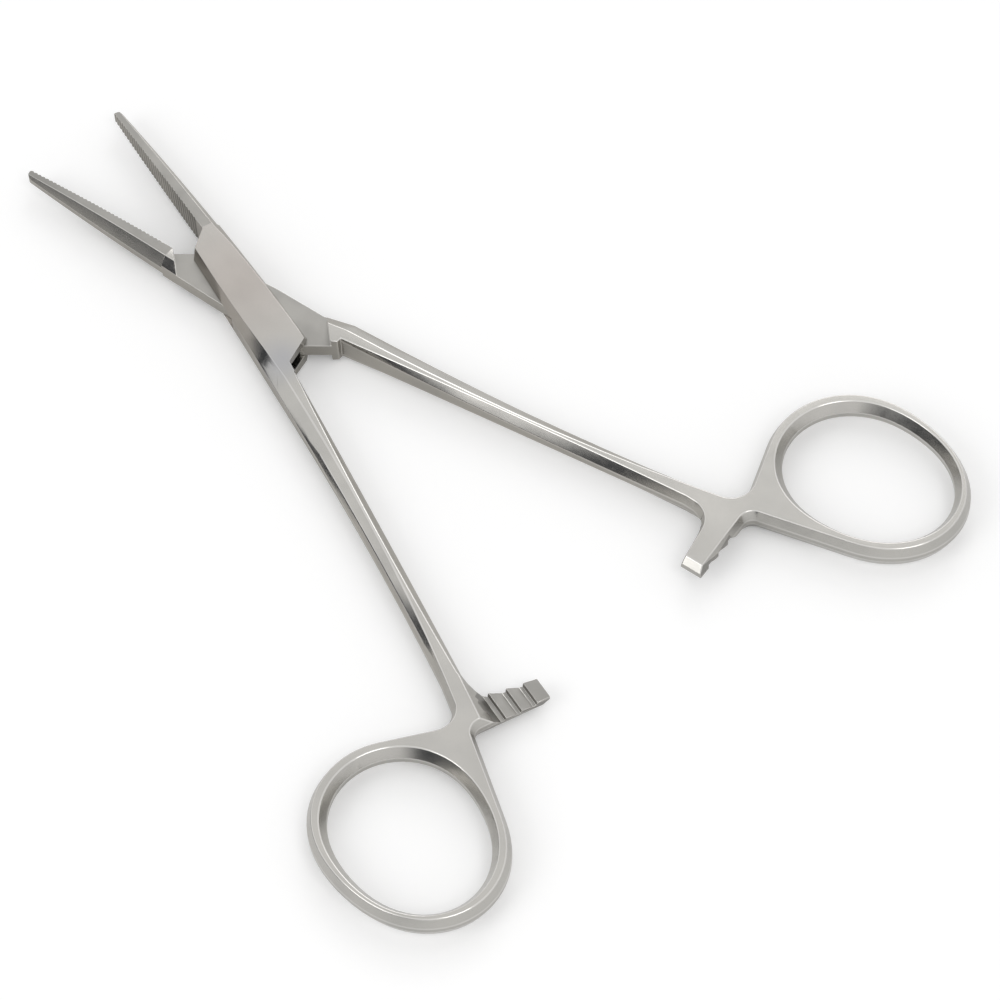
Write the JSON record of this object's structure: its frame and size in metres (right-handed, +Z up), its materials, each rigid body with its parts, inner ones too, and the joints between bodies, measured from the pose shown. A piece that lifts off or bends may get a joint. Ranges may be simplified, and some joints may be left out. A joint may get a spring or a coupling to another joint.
{
  "type": "hemostat forceps",
  "caption": "Straight box-lock hemostat forceps with serrated jaws, slim bevelled shanks, a finger ring on each arm and a toothed ratchet between the rings.",
  "frame": {"origin": "where the pivot's axis meets the flat underside of the rear leaf, on which the forceps rests", "axes": "+X along the middle line between the shanks, towards the finger rings; +Y towards the ring of the tongue arm; +Z up along the pivot's axis"},
  "size_m": [0.1192, 0.0932, 0.005],
  "materials": {
    "arm_steel": "forged stainless steel, polished to a soft satin shine",
    "pin_steel": "stainless steel, ground flush and polished with the leaves"
  },
  "bodies": {
    "female": {"female_arm": "arm_steel", "pivot_pin": "pin_steel"},
    "male": {"male_arm": "arm_steel"}
  },
  "joints": [
    {"name": "box_lock", "type": "hinge", "parent": "female", "child": "male", "pos_m": [0, 0, 0.0025], "axis": [0, 0, 1], "range_deg": [-21.6, 39]}
  ]
}
